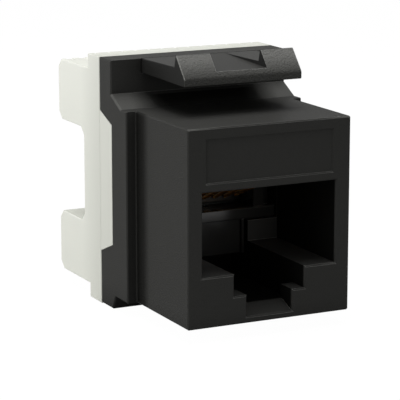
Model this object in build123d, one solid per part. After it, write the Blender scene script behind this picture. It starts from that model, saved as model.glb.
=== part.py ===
from build123d import *
import math
import os

# Keystone jack. The plug face looks towards -Y, the release latch is on top,
# and the wire block with its two rows of slots is at the back.
# Everything is laid out from the plug face (Y = 0) and the underside of the body
# (Z = 0), and moved at the end to stand over the middle of its own footprint.

# Running clearances and broken edges
slide_clearance = 0.05
snap_clearance = 0.04
hinge_clearance = 0.05
edge_break = 0.1
cut_past = 1.0

# Body that goes through the panel
body_width = 14.5
body_height = 16.0
body_depth = 9.6

# Collar behind the panel
collar_width = 16.2
collar_depth = 5.3
flange_ledge = 1.1
ramp_depth = 1.9
ramp_rise = 1.0
wall_height = 3.8
hook_drop = 1.15
hook_length = 2.3
hook_slope = 0.6
corner_web = 0.06

# Plug socket
socket_width = 11.95
socket_height = 6.8
socket_depth = 9.85
shelf_height = 4.1
shelf_wall_height = 1.75
mouth_break = 0.12
wall_slope = 45

# Keyway under the shelves, with the two stops that hold a plug's clip
keyway_width = 6.35
stop_height = 2.3
stop_depth = 1.95
clip_slot_width = 4.1
clip_slot_floor = 0.55
clip_ramp_top = 1.15
clip_ramp_depth = 1.7
keyway_floor = 0.8
keyway_overrun = 3.0

# Bare label panel above the socket
label_width = 11.4
label_height = 3.6
label_gap = 0.63
label_depth = 0.1

# Release latch
latch_width = 10.6
latch_thickness = 1.18
latch_reach = 8.0
latch_swell = 0.09
nose_droop = 0.13
nose_height = 0.63
nose_radius = 0.4
nose_lip_radius = 0.1
crest_radius = 0.08
latch_break = 0.05
ridge_setback = 1.58
ridge_rise = 1.04
ridge_foot = 0.28
notch_width = 4.6
notch_depth = 0.3

# Contact wires
wire_count = 8
wire_pitch = 1.016
wire_diameter = 0.3
wire_sides = 12
wire_bend = 0.6
wire_top = 12.3
wire_front_gap = 0.6
knee_depth = 10.66
knee_height = 8.36
tip_depth = 12.81
tip_height = 7.46
knee_bend = 8.0

# Contact carrier
carrier_play = 0.08
carrier_cheek = 0.65
cheek_setback = 1.2
frame_depth = 0.55
frame_inset = 0.15
bar_lift = 0.15
bar_height = 0.95
bar_length = 11.3
upright_setback = 0.25
upright_width = 1.0
window_margin = 0.07
comb_thickness = 0.4
comb_slot_top = 9.6
comb_gap = 0.16
comb_relief_width = 0.3
comb_relief_gap = 0.54
tray_drop = 0.25
tray_thickness = 0.5
lintel_depth = 2.0
rib_cover = 0.07
drop_panel_width = 4.95
drop_panel_height = 2.75
drop_rib_width = 0.22
drop_rib_gap = 0.06

# Circuit board
board_thickness = 1.2
board_low_wall = 0.95
board_top_wall = 2.25

# Wire block: plate, side tongues and two slotted towers
plate_thickness = 2.4
plate_drop = 1.2
bridge_rise = 1.0
tower_length = 6.4
tower_height = 5.25
tower_span = 18.6
tower_chamfer = 0.65
tongue_thickness = 1.2
tongue_wall = 0.3
tongue_depth = 2.4
tongue_length = 10.1
tongue_flare = 0.95
tongue_middle = 9.4
grip_count = 13
grip_pitch = 1.235
grip_width = 0.5
grip_depth = 0.07
end_notches = 2
end_notch_width = 0.65
end_notch_length = 1.6
end_notch_depth = 0.08

# Slots for the conductors and the forked terminals in them
slots_per_tower = 4
end_tooth = 3.0
slot_width = 0.7
slot_mouth = 1.4
slot_lead = 1.0
slot_depth = 4.8
fork_width = 2.4
fork_thickness = 0.4
fork_gap = 0.3
fork_gap_depth = 3.6
fork_setback = 1.1
fork_mouth = 0.9
pin_width = 0.5
pin_inset = 0.5
pin_seat = 0.2

# Heights and depths that follow from the sizes above
collar_front = body_depth
collar_rear = collar_front + collar_depth
wall_front = collar_front + flange_ledge + ramp_depth
ramp_top = body_height + ramp_rise
collar_top = body_height + wall_height
socket_top = shelf_height + socket_height
board_rear = collar_rear - pin_seat
board_front = board_rear - board_thickness
carrier_rear = board_front - slide_clearance
carrier_front = socket_depth - frame_inset
carrier_bottom = shelf_height + shelf_wall_height + slide_clearance
carrier_half = socket_width / 2 - carrier_play
wire_radius = wire_diameter / 2
groove_floor = wire_top - wire_radius - slide_clearance / 2
carrier_top = wire_top + wire_radius + rib_cover
plate_rear = collar_rear + plate_thickness
plate_bottom = -plate_drop
block_middle = (collar_top + plate_bottom) / 2
tower_rear = plate_rear + tower_length
board_half = collar_width / 2 - tongue_thickness - tongue_wall - slide_clearance
board_bottom = board_low_wall
board_top = collar_top - board_top_wall
hinge_height = collar_top - latch_thickness / 2
hinge_depth = wall_front - hinge_clearance
bend_centre = lintel_depth + wire_front_gap + wire_radius + wire_bend
tower_tip = tower_rear - fork_setback
slot_pitch = (collar_width - 2 * end_tooth) / (slots_per_tower - 1)


def block(x, y, z):
    """Box between two limits on each axis."""
    middle = Pos((x[0] + x[1]) / 2, (y[0] + y[1]) / 2, (z[0] + z[1]) / 2)
    return middle * Box(x[1] - x[0], y[1] - y[0], z[1] - z[0])


def side_prism(points, half_width):
    """Outline in the YZ plane, run out to both sides of the middle."""
    outline = make_face(Plane.YZ * Polyline(*points, close=True))
    return extrude(outline, amount=half_width, both=True)


def wire_places():
    """Sideways places of the contact wires, left to right."""
    return [(i - (wire_count - 1) / 2) * wire_pitch for i in range(wire_count)]


def slot_places():
    """Sideways places of the conductor slots in one tower."""
    return [(i - (slots_per_tower - 1) / 2) * slot_pitch for i in range(slots_per_tower)]


def tower_levels():
    """Bottom and top of the lower and the upper tower."""
    low = block_middle - tower_span / 2
    high = block_middle + tower_span / 2
    return [(low, low + tower_height), (high - tower_height, high)]


def collar():
    """Flange, ramp, latch wall and bottom hook as one side outline."""
    hook_tip = collar_rear - hook_length
    prism = side_prism(
        [
            (collar_front, 0),
            (collar_front, body_height),
            (collar_front + flange_ledge, body_height),
            (wall_front, ramp_top),
            (wall_front, collar_top),
            (collar_rear, collar_top),
            (collar_rear, -hook_drop),
            (hook_tip, -hook_drop),
            (hook_tip - hook_slope, 0),
        ],
        collar_width / 2,
    )
    ends = prism.faces().sort_by(Axis.X)
    return chamfer(ends[0].edges() + ends[-1].edges(), edge_break)


def tongue_outline(clearance):
    """Side outline of a snap tongue, grown by a clearance."""
    low = tongue_middle - tongue_length / 2 - clearance
    high = tongue_middle + tongue_length / 2 + clearance
    floor = collar_rear - tongue_depth - clearance
    return [
        (collar_rear + clearance, low - tongue_flare),
        (collar_rear + clearance, high + tongue_flare),
        (floor, high),
        (floor, low),
    ]


def side_tongues(clearance, inner, outer):
    """Both snap tongues, or the recesses that take them."""
    slab = side_prism(tongue_outline(clearance), outer)
    core = block((-inner, inner), (0, tower_rear), (plate_bottom, collar_top))
    return slab - core


def socket_outline():
    """Stepped outline of the plug opening, seen from the front."""
    half = socket_width / 2
    key = keyway_width / 2
    clip = clip_slot_width / 2
    points = [
        (-half, socket_top),
        (-half, shelf_height),
        (-key, shelf_height),
        (-key, stop_height),
        (-clip, stop_height),
        (-clip, clip_slot_floor),
        (clip, clip_slot_floor),
        (clip, stop_height),
        (key, stop_height),
        (key, shelf_height),
        (half, shelf_height),
        (half, socket_top),
    ]
    return make_face(Plane.XZ * Polyline(*points, close=True))


def front_housing():
    half = body_width / 2
    body = block((-half, half), (0, collar_front + flange_ledge), (0, body_height))
    front = body.faces().sort_by(Axis.Y)[0]
    body = chamfer(front.edges() + body.edges().filter_by(Axis.Y), edge_break)
    shell = body + collar()

    # Small web in the corner between the body's sides and the flange
    for side in (-half, half):
        out = side + math.copysign(corner_web, side)
        points = [(side, collar_front - corner_web), (out, collar_front), (side, collar_front)]
        corner = make_face(Polyline(*points, close=True))
        shell += Pos(0, 0, edge_break) * extrude(corner, amount=body_height - 2 * edge_break)

    # Plug opening through the front wall, with broken edges at its mouth
    opening = socket_outline()
    shell -= extrude(opening, amount=-stop_depth)
    mouth = offset(opening, mouth_break, kind=Kind.INTERSECTION)
    shell -= extrude(mouth, amount=-mouth_break, taper=wall_slope)

    # Ramp in the clip slot, up to the two stops
    clip = clip_slot_width / 2
    ramp = side_prism(
        [
            (mouth_break, clip_slot_floor),
            (clip_ramp_depth, clip_ramp_top),
            (stop_depth, clip_ramp_top),
            (stop_depth, 0),
            (mouth_break, 0),
        ],
        clip,
    )
    shell += ramp

    # Socket, keyway behind the stops, and the chamber over the contact wires
    wide = (-socket_width / 2, socket_width / 2)
    key = (-keyway_width / 2, keyway_width / 2)
    pocket_half = carrier_half + slide_clearance
    pocket = (-pocket_half, pocket_half)
    keyway_rear = socket_depth + keyway_overrun
    ceiling = carrier_top + slide_clearance
    shell -= block(wide, (0, socket_depth), (shelf_height, socket_top))
    shell -= block(key, (stop_depth, keyway_rear), (keyway_floor, shelf_height + shelf_wall_height))
    shell -= block(pocket, (lintel_depth, board_front), (shelf_height + shelf_wall_height, ceiling))
    rear = (carrier_front - slide_clearance, board_front)
    shell -= block(pocket, rear, (carrier_bottom - slide_clearance, ceiling))

    # Pocket for the circuit board, open to the back
    board = board_half + slide_clearance
    shell -= block(
        (-board, board),
        (board_front, collar_rear + cut_past),
        (board_bottom - slide_clearance, board_top + slide_clearance),
    )

    # Recesses for the snap tongues of the wire block
    tongue_inner = collar_width / 2 - tongue_thickness - snap_clearance
    shell -= side_tongues(snap_clearance, tongue_inner, collar_width / 2 + cut_past)

    # Seat for the root of the release latch
    seat_radius = latch_thickness / 2 + hinge_clearance
    seat_width = latch_width + 2 * hinge_clearance
    shell -= Pos(0, hinge_depth, hinge_height) * Cylinder(seat_radius, seat_width, rotation=(0, 90, 0))

    # Shallow bare label panel with sloped walls
    label_middle = socket_top + label_gap + label_height / 2
    label = Plane(origin=(0, 0, label_middle), x_dir=(1, 0, 0), z_dir=(0, -1, 0))
    panel = label * Rectangle(label_width, label_height)
    return shell - extrude(panel, amount=-label_depth, taper=wall_slope)


def release_latch():
    """Spring arm with its ridged head and the notch for a screwdriver."""
    nose = wall_front - latch_reach
    ridge = nose + ridge_setback
    head_rear = ridge + ridge_foot
    under = collar_top - latch_thickness
    lip = under - nose_droop
    crown = collar_top + latch_swell
    arm = side_prism(
        [
            (hinge_depth, under),
            (nose, lip),
            (nose, lip + nose_height),
            (ridge, crown + ridge_rise),
            (head_rear, crown),
            (hinge_depth, collar_top),
        ],
        latch_width / 2,
    )
    for point, radius in (
        ((nose, lip), nose_lip_radius),
        ((nose, lip + nose_height), nose_radius),
        ((ridge, crown + ridge_rise), crest_radius),
    ):
        edges = arm.edges().filter_by(Axis.X)
        edge = edges.sort_by_distance(Vector(0, *point))[0]
        arm = fillet(edge, radius)
    outer = arm.faces().sort_by(Axis.X)
    arm = chamfer(outer[0].edges() + outer[-1].edges(), latch_break)
    notch = side_prism(
        [
            (nose, collar_top - notch_depth),
            (hinge_depth, collar_top),
            (hinge_depth, crown + ridge_rise + cut_past),
            (nose, crown + ridge_rise + cut_past),
        ],
        notch_width / 2,
    )
    root = Cylinder(latch_thickness / 2, latch_width, rotation=(0, 90, 0))
    return arm - notch + Pos(0, hinge_depth, hinge_height) * root


def contact_wire(place):
    """Round spring wire, bent back under its own anchored leg."""
    centre = Vector(bend_centre, wire_top - wire_bend)
    knee = Vector(knee_depth, knee_height)
    tip = Vector(tip_depth, tip_height)
    start = Vector(board_rear - slide_clearance, wire_top)
    crest = centre + Vector(0, wire_bend)
    front = centre - Vector(wire_bend, 0)

    # The lower leg leaves the front bend along the tangent through the knee
    away = knee - centre
    touch_angle = math.atan2(away.Y, away.X) - math.acos(wire_bend / away.length)
    touch = centre + Vector(math.cos(touch_angle), math.sin(touch_angle)) * wire_bend

    side = Plane.YZ.offset(place)
    line = Line(start, crest) + ThreePointArc(crest, front, touch)
    line += FilletPolyline(touch, knee, tip, radius=knee_bend)
    end = Plane(origin=(place, start.X, start.Y), z_dir=(0, -1, 0))
    section = end * RegularPolygon(wire_radius, wire_sides)
    return sweep(section, path=side * line)


def wire_channel(place, grow):
    """Square channel round the anchored leg of one contact wire."""
    half = wire_radius + grow
    return block((place - half, place + half), (0, board_rear), (groove_floor, carrier_top + cut_past))


def contact_carrier():
    """Comb that holds the contact wires, with the frame behind the socket."""
    half = carrier_half
    full = (-half, half)
    inner_bend = wire_bend - wire_radius - slide_clearance / 2
    nose_bottom = wire_top - wire_bend - inner_bend
    frame_rear = carrier_front + frame_depth
    comb_front = carrier_rear - comb_thickness
    bar_bottom = carrier_bottom + bar_lift
    bar_top = bar_bottom + bar_height
    outer_wire = (wire_count - 1) / 2 * wire_pitch
    window = outer_wire + wire_radius + window_margin

    # Grooved top plate with its rounded nose
    plate = block(full, (bend_centre, carrier_rear), (nose_bottom, carrier_top))
    nose = Cylinder(inner_bend, 2 * half, rotation=(0, 90, 0))
    plate += Pos(0, bend_centre, wire_top - wire_bend) * nose
    for place in wire_places():
        plate -= wire_channel(place, slide_clearance)

    # Bar behind the socket, and the uprights on it beside the window
    bar_half = bar_length / 2
    bar = block((-bar_half, bar_half), (carrier_front, frame_rear), (bar_bottom, bar_top))
    bar = chamfer(bar.faces().sort_by(Axis.Y)[0].edges(), rib_cover)
    outer = window + upright_width
    frame = block((-outer, outer), (carrier_front + upright_setback, frame_rear), (bar_top, nose_bottom))
    frame -= block((-window, window), (0, carrier_rear), (bar_top, nose_bottom))

    # Tray, cheeks and comb round the free ends of the wires
    inner = half - carrier_cheek
    tray_top = bar_top - tray_drop
    tray = block(full, (frame_rear, carrier_rear), (tray_top - tray_thickness, tray_top))
    cheeks = block(full, (frame_rear + cheek_setback, carrier_rear), (carrier_bottom, nose_bottom))
    cheeks -= block((-inner, inner), (0, collar_rear), (carrier_bottom, nose_bottom))
    comb = block((-inner, inner), (comb_front, carrier_rear), (tray_top + comb_gap, nose_bottom))
    slot_half = wire_radius + slide_clearance
    slot_bottom = tip_height + slot_half
    for place in wire_places():
        across = (place - slot_half, place + slot_half)
        comb -= block(across, (0, collar_rear), (slot_bottom, comb_slot_top))
    for side in (-1, 1):
        place = side * (outer_wire + comb_relief_gap)
        across = (place - comb_relief_width / 2, place + comb_relief_width / 2)
        comb -= block(across, (0, collar_rear), (tray_top, comb_slot_top))

    # Panel and ribs that hang down behind the keyway
    drop = (carrier_bottom - drop_panel_height, bar_bottom)
    panel_front = carrier_front + frame_depth / 2
    panel_half = drop_panel_width / 2
    hanging = block((-panel_half, panel_half), (panel_front, frame_rear), drop)
    for side in (-1, 1):
        edge = panel_half + drop_rib_gap
        near, far = sorted((side * edge, side * (edge + drop_rib_width)))
        hanging += block((near, far), (carrier_front, frame_rear), drop)
    return plate + bar + frame + tray + cheeks + comb + hanging


def circuit_board():
    """Board that joins the contact wires to the forked terminals."""
    board = block((-board_half, board_half), (board_front, board_rear), (board_bottom, board_top))
    board = chamfer(board.edges().filter_by(Axis.Y), edge_break)
    drilled = Plane.XZ * RegularPolygon(wire_radius + slide_clearance, wire_sides)
    drill = extrude(drilled, amount=-(board_rear + cut_past))
    for place in wire_places():
        board -= Pos(place, 0, wire_top) * drill
    hole = pin_width / 2 + slide_clearance
    for low, high in tower_levels():
        middle = (low + high) / 2
        for place in slot_places():
            pin = pin_place(place)
            board -= block((pin - hole, pin + hole), (0, collar_rear), (middle - hole, middle + hole))
    return board


def pin_place(place):
    """Sideways place of a terminal's pin, set in from its fork."""
    return place - math.copysign(pin_inset, place)


def idc_terminal(place, level):
    """Forked blade that cuts through a conductor's insulation, on a board pin."""
    half = fork_width / 2
    base = collar_rear + slide_clearance
    tip = tower_tip
    gap = fork_gap / 2
    mouth = fork_mouth / 2
    throat = tip - fork_mouth
    root = tip - fork_gap_depth
    right = [(gap, root), (gap, throat), (mouth, tip), (half - gap, tip), (half, throat), (half, base)]
    left = [(-x, y) for x, y in reversed(right)]
    blade = make_face(Pos(place, 0) * Polyline(*right, *left, close=True))
    pin = pin_place(place)
    leg = block(
        (pin - pin_width / 2, pin + pin_width / 2),
        (board_front + slide_clearance, base),
        (-fork_thickness / 2, fork_thickness / 2),
    )
    fork = extrude(blade, amount=fork_thickness / 2, both=True)
    return Pos(0, 0, level) * (fork + leg)


def tower_cuts(low, high):
    """Conductor slots with their lead-ins, and the seats of the terminals."""
    floor = tower_rear - slot_depth
    lead = tower_rear - slot_lead
    half = slot_width / 2
    mouth = slot_mouth / 2
    level = (low + high) / 2
    past = edge_break
    cuts = []
    for place in slot_places():
        outline = [
            (place - half, floor),
            (place + half, floor),
            (place + half, lead),
            (place + mouth, tower_rear + past),
            (place - mouth, tower_rear + past),
            (place - half, lead),
        ]
        slot = extrude(make_face(Polyline(*outline, close=True)), amount=high - low + 2 * past)
        cuts.append(Pos(0, 0, low - past) * slot)
        seat = fork_width / 2 + snap_clearance
        thick = fork_thickness / 2 + snap_clearance
        cuts.append(
            block(
                (place - seat, place + seat),
                (board_rear, tower_tip + snap_clearance),
                (level - thick, level + thick),
            )
        )
    return cuts


def idc_block():
    """White wire block: plate, bridge and two slotted towers in one moulding."""
    (low_0, low_1), (high_0, high_1) = tower_levels()
    ch = tower_chamfer
    bridge = plate_rear + bridge_rise
    prism = side_prism(
        [
            (collar_rear, plate_bottom),
            (plate_rear, plate_bottom),
            (plate_rear, low_0),
            (tower_rear - ch, low_0),
            (tower_rear, low_0 + ch),
            (tower_rear, low_1 - ch),
            (tower_rear - ch, low_1),
            (bridge + ch, low_1),
            (bridge, low_1 + ch),
            (bridge, high_0 - ch),
            (bridge + ch, high_0),
            (tower_rear - ch, high_0),
            (tower_rear, high_0 + ch),
            (tower_rear, high_1 - ch),
            (tower_rear - ch, high_1),
            (plate_rear, high_1),
            (plate_rear, collar_top),
            (collar_rear, collar_top),
        ],
        collar_width / 2,
    )
    ends = prism.faces().sort_by(Axis.X)
    moulding = chamfer(ends[0].edges() + ends[-1].edges(), edge_break / 2)

    # Snap tongues in the collar's sides, and the pad that holds the board down
    side = collar_width / 2
    moulding += side_tongues(0, side - tongue_thickness, side)
    pad = board_half - slide_clearance
    moulding += block((-pad, pad), (board_rear, collar_rear), (board_bottom, board_top))

    # Fine grip grooves across the top of the plate
    half = grip_width / 2
    vee = Polyline((-half, grip_depth), (0, -grip_depth), (half, grip_depth), close=True)
    groove = make_face(Plane.XZ * vee)
    for i in range(grip_count):
        place = (i - (grip_count - 1) / 2) * grip_pitch
        cut = extrude(groove, amount=-(plate_thickness + 2 * cut_past))
        moulding -= Pos(place, collar_rear - cut_past, collar_top) * cut

    # Shallow notches at the rear edge of each tower's end teeth
    notch_x = end_notch_width / 2
    notch_y = (tower_rear - end_notch_length, tower_rear)
    for i in range(end_notches):
        place = ((grip_count - 1) / 2 - i) * grip_pitch
        for side in (-place, place):
            for edge in (low_0, high_1):
                cut = (edge - end_notch_depth, edge + end_notch_depth)
                moulding -= block((side - notch_x, side + notch_x), notch_y, cut)
    for low, high in tower_levels():
        for cut in tower_cuts(low, high):
            moulding -= cut
    return moulding


# Every piece, by the name of its own file
pieces = {
    "front_housing": front_housing(),
    "release_latch": release_latch(),
    "contact_carrier": contact_carrier(),
    "circuit_board": circuit_board(),
    "idc_block": idc_block(),
}
for number, place in enumerate(wire_places(), start=1):
    pieces[f"contact_wire_{number}"] = contact_wire(place)
number = 0
for low, high in tower_levels():
    for place in slot_places():
        number += 1
        pieces[f"idc_terminal_{number}"] = idc_terminal(place, (low + high) / 2)

# The origin stands under the middle of the whole part
to_origin = Pos(0, -tower_rear / 2, -plate_bottom)
os.makedirs("parts", exist_ok=True)
for name, shape in pieces.items():
    export_step(to_origin * shape, f"parts/{name}.step")
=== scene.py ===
import math

import bpy
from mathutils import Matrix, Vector

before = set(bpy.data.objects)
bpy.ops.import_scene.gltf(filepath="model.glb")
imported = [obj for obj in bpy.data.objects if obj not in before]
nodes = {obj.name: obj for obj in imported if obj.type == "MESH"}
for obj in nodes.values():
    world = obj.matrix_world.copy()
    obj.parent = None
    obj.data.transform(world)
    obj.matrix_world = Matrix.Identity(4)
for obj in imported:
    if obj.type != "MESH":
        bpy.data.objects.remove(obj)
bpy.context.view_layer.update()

# Camera
# It stands to the left of the plug face and a little above it, with a long lens,
# so the jack's upright edges stay almost parallel.
mm = 0.001
view_turn = math.radians(26.45)
view_tilt = math.radians(12.16)
view_distance = 167.0
view_target = Vector((-1.76, -2.91, 9.46))
long_lens = 182.1
sensor_width = 36.0
nearest_view = 10.0

forward = Vector(
    (
        math.sin(view_turn) * math.cos(view_tilt),
        math.cos(view_turn) * math.cos(view_tilt),
        -math.sin(view_tilt),
    )
)
camera = bpy.data.objects.new("camera", bpy.data.cameras.new("camera"))
camera.data.lens = long_lens
camera.data.sensor_width = sensor_width
camera.data.clip_start = nearest_view * mm
camera.location = (view_target - forward * view_distance) * mm
camera.rotation_euler = forward.to_track_quat("-Z", "Y").to_euler()
bpy.context.scene.collection.objects.link(camera)
bpy.context.scene.camera = camera
bpy.context.scene.view_settings.view_transform = "Standard"

# Studio
# A white paper table in a white tent, which gives weak light from all round. Two soft
# boxes stand on the left, one of them behind the jack, one hangs overhead and a weak one
# stands in front, low enough to look into the plug socket.
tent_light = 0.22
white = (1.0, 1.0, 1.0, 1.0)
paper_grey = (0.45, 0.45, 0.45, 1.0)
paper_white = 0.93
paper_glow = 1.06
paper_size = 1200
lamp_aim = (0, 0, 10)


class Signal:
    """One output in a node tree. Arithmetic on it adds Math nodes."""

    def __init__(self, finish, socket):
        self.finish = finish
        self.socket = socket

    def math(self, operation, *values):
        sockets = dict(enumerate(values))
        return self.finish.node("Math", sockets, operation=operation)

    def __add__(self, other):
        return self.math("ADD", self, other)

    def __radd__(self, other):
        return self.math("ADD", other, self)

    def __sub__(self, other):
        return self.math("SUBTRACT", self, other)

    def __rsub__(self, other):
        return self.math("SUBTRACT", other, self)

    def __mul__(self, other):
        return self.math("MULTIPLY", self, other)

    def __rmul__(self, other):
        return self.math("MULTIPLY", other, self)

    def __gt__(self, other):
        return self.math("GREATER_THAN", self, other)

    def __lt__(self, other):
        return self.math("LESS_THAN", self, other)

    def __abs__(self):
        return self.math("ABSOLUTE", self)

    def clamp(self):
        return self.math("MINIMUM", self.math("MAXIMUM", self, 0.0), 1.0)


class Finish:
    """The node tree of a material or of the world."""

    def __init__(self, owner):
        owner.use_nodes = True
        self.owner = owner
        self.tree = owner.node_tree
        self.tree.nodes.clear()

    def node(self, kind, sockets=None, output=0, **settings):
        """Adds a node: its settings first, then the values or links of its sockets."""
        node = self.tree.nodes.new("ShaderNode" + kind)
        for key, value in settings.items():
            setattr(node, key, value)
        for key, value in (sockets or {}).items():
            if isinstance(value, Signal):
                self.tree.links.new(value.socket, node.inputs[key])
            else:
                node.inputs[key].default_value = value
        return Signal(self, node.outputs[output]) if node.outputs else None

    def blend(self, mask, first, second):
        """Colour that goes from first to second as the mask goes from 0 to 1."""
        return self.node("Mix", {0: mask, 6: first, 7: second}, output=2, data_type="RGBA")

    def background_rays(self):
        """1 for the rays that show the white background itself, 0 for those that light."""
        names = ("Is Camera Ray", "Is Glossy Ray", "Is Transmission Ray")
        camera_ray, glossy_ray, through_ray = (self.node("LightPath", output=n) for n in names)
        return (camera_ray + glossy_ray + through_ray).clamp()


tent = bpy.data.worlds.new("tent")
bpy.context.scene.world = tent
cloth = Finish(tent)
strength = tent_light + (1 - tent_light) * cloth.background_rays()
lit = cloth.node("Background", {"Color": white, "Strength": strength})
cloth.node("OutputWorld", {"Surface": lit})

table = bpy.data.objects.new("table_paper", bpy.data.meshes.new("table_paper"))
edge = paper_size / 2 * mm
table_corners = [(-edge, -edge, 0), (edge, -edge, 0), (edge, edge, 0), (-edge, edge, 0)]
table.data.from_pydata(table_corners, [], [(0, 1, 2, 3)])
paper = Finish(bpy.data.materials.new("table_paper"))
matt = paper.node("BsdfDiffuse", {"Color": paper_grey})
glow = paper.node("Emission", {"Color": white, "Strength": paper_glow})
seen = paper_white * paper.background_rays()
sheet = paper.node("MixShader", {0: seen, 1: matt, 2: glow})
paper.node("OutputMaterial", {"Surface": sheet})
table.data.materials.append(paper.owner)
bpy.context.scene.collection.objects.link(table)


def soft_box(name, place, size, power):
    """Square lamp at a place in millimetres, turned towards the jack."""
    lamp = bpy.data.objects.new(name, bpy.data.lights.new(name, "AREA"))
    lamp.data.size = size * mm
    lamp.data.energy = power
    lamp.location = Vector(place) * mm
    aim = Vector(lamp_aim) - Vector(place)
    lamp.rotation_euler = aim.to_track_quat("-Z", "Y").to_euler()
    bpy.context.scene.collection.objects.link(lamp)


soft_box("soft_box_left", place=(-160, -10, 40), size=120, power=0.115)
soft_box("soft_box_behind", place=(-80, 146, 45), size=70, power=0.12)
soft_box("soft_box_overhead", place=(0, 0, 180), size=110, power=0.2)
soft_box("soft_box_front", place=(25, -190, 30), size=70, power=0.032)

# Front housing
# One black ABS moulding with a fine sand texture from the mould outside and smooth walls
# in the plug socket. Its collar snaps over the side tongues of the wire block.
black = (0.0425, 0.0425, 0.0402, 1.0)
# Painted highlight colour for the edges that look up and forward.
black_highlight = (0.3, 0.3, 0.285, 1.0)
# Painted shade colour for the socket, under the latch, in corners and beside the flange.
shade_black = (0.006, 0.006, 0.0054, 1.0)
black_roughness = 0.44
black_specular = 0.0075
polish_roughness = 0.12
highlight_gloss = 0.3
moulded_radius = 0.05
sand_grain = 9.0
sand_depth = 0.03
cloud_grain = 0.35

socket_half_width = 6.05
socket_front, socket_back = -11.6, 1.3
socket_bottom, socket_top = 1.7, 12.1
socket_polish = 0.4
socket_smoothing = 0.8
end_wall = 0.3
shelf_bottom, shelf_top = 5.3, 7.1
keyway_floor_height = 2.1
keyway_shade_front = -10.4

# Where the painted shade lies: under the latch, in corners and beside the flange.
latch_hollow_bottom, latch_hollow_top = 15.5, 18.0
latch_hollow_half_width = 5.0
latch_hollow_front = -6.4
latch_hollow_shade = 0.75
corner_reach = 2.5
corner_shade = 0.85
body_side = 7.4
flange_face = -2.4
flange_shadow_front = -4.7
flange_shadow_shade = 0.68
# Painted highlight on the outer ends of the ramp, outside the latch's shadow.
ramp_highlight_start = 4.6
ramp_highlight = 0.2


def start(name):
    """New finish, with the place on the piece in millimetres."""
    finish = Finish(bpy.data.materials.new(name))
    corner = finish.node("TexCoord", output="Object")
    place = finish.node("VectorMath", {0: corner, "Scale": 1 / mm}, operation="SCALE")
    return finish, place


def split(finish, vector):
    """The three parts of a vector, one by one."""
    return [finish.node("SeparateXYZ", {0: vector}, output=i) for i in range(3)]


def fade(distance, rate):
    """0 up to no distance, then a rise to 1 at the given rate."""
    return (distance * rate).clamp()


def noise(finish, place, scale, detail=2.0):
    """Smooth random pattern with the given number of features to a millimetre."""
    return finish.node("TexNoise", {"Vector": place, "Scale": scale, "Detail": detail})


def soft_edges(finish, radius):
    """Normal that rolls over each edge as its small moulded radius does."""
    return finish.node("Bevel", {"Radius": radius * mm}, samples=6)


def edge_mask(finish, rounded, sharpness):
    """1 on the edges that look up and forward, where light from above falls: the mask of a
    painted highlight.
    """
    flat = finish.node("NewGeometry", output="Normal")
    along = finish.node("VectorMath", {0: rounded, 1: flat}, output=1, operation="DOT_PRODUCT")
    backward, upward = split(finish, rounded)[1:]
    return fade(1 - along, sharpness) * fade(backward, -4.0) * fade(upward, 3.0)


def coat(finish, names, sockets, height, depth, rounded):
    """Closes a finish with its shader and puts it on the CAD nodes."""
    bump = finish.node("Bump", {"Distance": depth * mm, "Height": height, "Normal": rounded})
    shader = finish.node("BsdfPrincipled", {**sockets, "Normal": bump})
    finish.node("OutputMaterial", {"Surface": shader})
    for name in names:
        for slot in nodes[name].material_slots:
            slot.material = finish.owner


housing, place = start("black_moulding")
sand = noise(housing, place, sand_grain)
cloud = noise(housing, place, cloud_grain)
x, y, z = split(housing, place)
across = abs(x)
turned = split(housing, housing.node("TexCoord", output="Normal"))
sideways = abs(turned[0]) > 0.5

# Painted shade: parts of the smooth plug socket are painted near black, darker than the lamps
# leave them
inside = (across < socket_half_width) * (y > socket_front) * (y < socket_back)
inside = inside * (z > socket_bottom) * (z < socket_top)
back_wall = inside * (y > end_wall) * ((z < shelf_bottom) + (z > shelf_top))
side_walls = inside * sideways
keyway_floor = inside * (z < keyway_floor_height) * fade(y - keyway_shade_front, 3.0)

# Painted shade under the latch, in corners and on the body's sides in front of the flange,
# where the flange's shadow falls
latch_shadow = (z > latch_hollow_bottom) * (z < latch_hollow_top)
latch_shadow = latch_shadow * fade(latch_hollow_half_width - across, 0.7)
latch_shadow = latch_shadow * fade(y - latch_hollow_front, 0.7)
reach = {"Distance": corner_reach * mm}
open_air = housing.node("AmbientOcclusion", reach, output="AO", samples=8)
corners = (1 - inside) * (1 - open_air)
body_flank = sideways * (1 - inside) * (across < body_side) * (y < flange_face)
flange_shadow = body_flank * fade(y - flange_shadow_front, 1.0)
shadows = latch_hollow_shade * latch_shadow + corner_shade * corners
shadows = shadows + flange_shadow_shade * flange_shadow
painted_shade = (back_wall + side_walls + keyway_floor + shadows).clamp()

# Painted highlight on the edges that look up and forward, and on the outer ends of the ramp
# under the latch, which lie outside the latch's shadow
lit_ramp_ends = (turned[1] < -0.3) * (turned[2] > 0.5) * fade(across - ramp_highlight_start, 0.45)
rounded = soft_edges(housing, moulded_radius)
painted_highlight = (edge_mask(housing, rounded, 8.0) + ramp_highlight * lit_ramp_ends).clamp()
# Black with the painted highlight on the upward edges and the ramp's ends.
shade = housing.blend(painted_highlight, black, black_highlight)
sockets = {
    "Base Color": housing.blend(painted_shade, shade, shade_black),
    "Roughness": black_roughness + 0.08 * cloud,
    "Specular IOR Level": black_specular,
    "Coat Weight": (socket_polish * inside * (1 - painted_shade) + highlight_gloss * painted_highlight).clamp(),
    "Coat Roughness": polish_roughness,
}
sand = sand * (1 - socket_smoothing * inside)
coat(housing, ["front_housing"], sockets, sand, sand_depth, rounded)

# Release latch
# A spring arm of the same black plastic, pressed down to let the jack out of a panel.
# Its thumb face was spark-eroded in the mould, which leaves a pebbled grain. The face is
# painted lighter grey than the arm, most of all at its top: a painted highlight.
pebble_grain = 7.0
pebble_depth = 0.135
sand_share = 0.1
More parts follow.
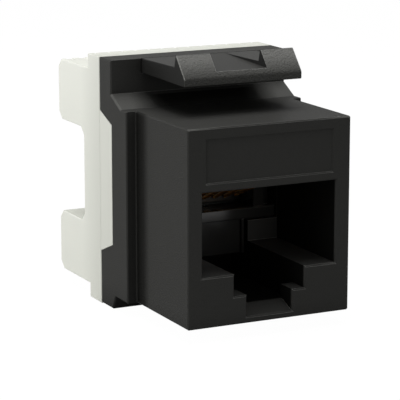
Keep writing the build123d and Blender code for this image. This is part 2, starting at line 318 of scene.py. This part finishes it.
# Painted highlight: the thumb face is painted lighter grey than the arm, lightest at its top.
thumb_lit = (0.065, 0.065, 0.061, 1.0)
thumb_top_highlight = (0.2, 0.2, 0.19, 1.0)
# Painted highlight on the thumb face's upward edges.
thumb_edge_highlight = (0.45, 0.45, 0.43, 1.0)
thumb_face_tilt = -0.35
top_highlight_start = 20.3
# Painted shade on the arm's sides.
flank_shade = (0.02, 0.02, 0.019, 1.0)

latch, place = start("latch_moulding")
sand = noise(latch, place, sand_grain)
pebble = noise(latch, place, pebble_grain, 1.0)
turned = split(latch, latch.node("TexCoord", output="Normal"))
thumb = fade(thumb_face_tilt - turned[1], 5.0)
# Painted highlight that grows towards the top of the thumb face.
top_highlight = fade(split(latch, place)[2] - top_highlight_start, 0.75)
rounded = soft_edges(latch, moulded_radius)
# Painted highlight on the thumb face's upward edges.
painted_highlight = edge_mask(latch, rounded, 25.0) * thumb
# The arm's sides are painted darker: painted shade.
arm = latch.blend(abs(turned[0]) > 0.7, black, flank_shade)
face = latch.blend(thumb, arm, latch.blend(top_highlight, thumb_lit, thumb_top_highlight))
sockets = {
    "Base Color": latch.blend(painted_highlight, face, thumb_edge_highlight),
    "Roughness": black_roughness + 0.1 * thumb,
    "Specular IOR Level": black_specular,
    "Coat Weight": highlight_gloss * painted_highlight,
    "Coat Roughness": polish_roughness,
}
grain = sand_share * sand + thumb * pebble
coat(latch, ["release_latch"], sockets, grain, pebble_depth, rounded)

# Contact carrier
# A black comb behind the socket, moulded in a tougher plastic without texture. It keeps
# the eight wires apart and slides into the housing from behind. Its bar is glossier towards
# the left and painted lighter grey there: a painted highlight.
carrier_black = (0.015, 0.015, 0.014, 1.0)
# Painted highlight on the bar, strongest on the left.
bar_highlight_grey = (0.09, 0.083, 0.073, 1.0)
bar_height = 8.25
bar_highlight_end = 3.8
carrier_radius = 0.04
carrier_depth = 0.004

carrier, place = start("carrier_moulding")
cloud = noise(carrier, place, 0.8)
rounded = soft_edges(carrier, carrier_radius)
# Painted highlight on the upward edges, in the housing's highlight colour.
painted_highlight = edge_mask(carrier, rounded, 6.0)
x, _, z = split(carrier, place)
# Painted highlight and extra gloss on the bar, fading to the right.
bar_gloss_and_highlight = fade(bar_highlight_end - x, 0.3)
smooth = carrier.blend(bar_gloss_and_highlight * (z > bar_height), carrier_black, bar_highlight_grey)
sockets = {
    "Base Color": carrier.blend(painted_highlight, smooth, black_highlight),
    "Roughness": 0.3 + 0.1 * cloud,
    "Specular IOR Level": 0.05,
    "Coat Weight": bar_gloss_and_highlight,
    "Coat Roughness": 0.15,
}
coat(carrier, ["contact_carrier"], sockets, cloud, carrier_depth, rounded)

# Contact wires
# Round phosphor bronze, drawn, bent and gold plated. Each is held in the carrier's groove
# and soldered into the board, and its free leg springs up when a plug goes in.
gold_dark = (0.98, 0.44, 0.08, 1.0)
gold_light = (1.0, 0.6, 0.2, 1.0)
drawing_lines = (14.0, 0.6, 14.0)
wire_radius = 0.05
wire_depth = 0.004

wire, place = start("gold_plate")
along = wire.node("VectorMath", {0: place, 1: drawing_lines}, operation="MULTIPLY")
drawn = noise(wire, along, 1.0)
wires = [name for name in nodes if name.startswith("contact_wire")]
sockets = {
    "Base Color": wire.blend(drawn, gold_dark, gold_light),
    "Roughness": 0.34 + 0.16 * drawn,
    "Metallic": 1.0,
}
coat(wire, wires, sockets, drawn, wire_depth, soft_edges(wire, wire_radius))

# Circuit board
# Glass-cloth laminate under green solder mask. It is pressed between the housing and the
# pad of the wire block, and the weave of the cloth shows faintly through the mask.
mask_dark = (0.004, 0.008, 0.005, 1.0)
mask_light = (0.008, 0.016, 0.01, 1.0)
weave_grain = 2.5
board_radius = 0.05
weave_depth = 0.006

board, place = start("solder_mask")
weave = noise(board, place, weave_grain, 4.0)
sockets = {
    "Base Color": board.blend(weave, mask_dark, mask_light),
    "Roughness": 0.3 + 0.15 * weave,
}
coat(board, ["circuit_board"], sockets, weave, weave_depth, soft_edges(board, board_radius))

# Forked terminals
# Stamped phosphor bronze blades with a tin plate, one in each slot of the towers.
# The fork's sharp inner edges cut through a conductor's insulation.
tin_dark = (0.5, 0.49, 0.46, 1.0)
tin_light = (0.7, 0.69, 0.66, 1.0)
frost_grain = 6.0
tin_radius = 0.04
frost_depth = 0.006

tin, place = start("tin_plate")
frost = noise(tin, place, frost_grain, 4.0)
terminals = [name for name in nodes if name.startswith("idc_terminal")]
sockets = {
    "Base Color": tin.blend(frost, tin_dark, tin_light),
    "Roughness": 0.28 + 0.2 * frost,
    "Metallic": 1.0,
}
coat(tin, terminals, sockets, frost, frost_depth, soft_edges(tin, tin_radius))

# Wire block
# One warm white polycarbonate moulding: the plate, the two slotted towers and the tongues
# that snap into the collar. It presses the terminals' pins into the board. The plate and
# tongues are painted a little greyer than the towers, most at the end that meets the collar:
# painted shade.
ivory_dark = (0.72, 0.73, 0.66, 1.0)
ivory_light = (0.755, 0.765, 0.69, 1.0)
# Painted shade on the plate and tongues at the end that meets the collar.
ivory_shaded = (0.62, 0.63, 0.565, 1.0)
# Faint painted highlight on the upward edges.
ivory_highlight = (0.76, 0.77, 0.71, 1.0)
collar_shade_end = 7.0
block_radius = 0.07
block_sand_depth = 0.008

block, place = start("white_moulding")
sand = noise(block, place, sand_grain)
cloud = noise(block, place, cloud_grain)
rounded = soft_edges(block, block_radius)
# Faint painted highlight on the upward edges.
painted_highlight = edge_mask(block, rounded, 6.0)
# Painted shade, darker towards the end that meets the collar.
collar_shade = fade(collar_shade_end - split(block, place)[1], 0.3)
tinted = block.blend(cloud, ivory_dark, ivory_light)
tinted = block.blend(collar_shade, tinted, ivory_shaded)
sockets = {
    "Base Color": block.blend(painted_highlight, tinted, ivory_highlight),
    "Roughness": 0.42 + 0.1 * cloud,
    "Specular IOR Level": 0.4,
}
coat(block, ["idc_block"], sockets, sand, block_sand_depth, rounded)
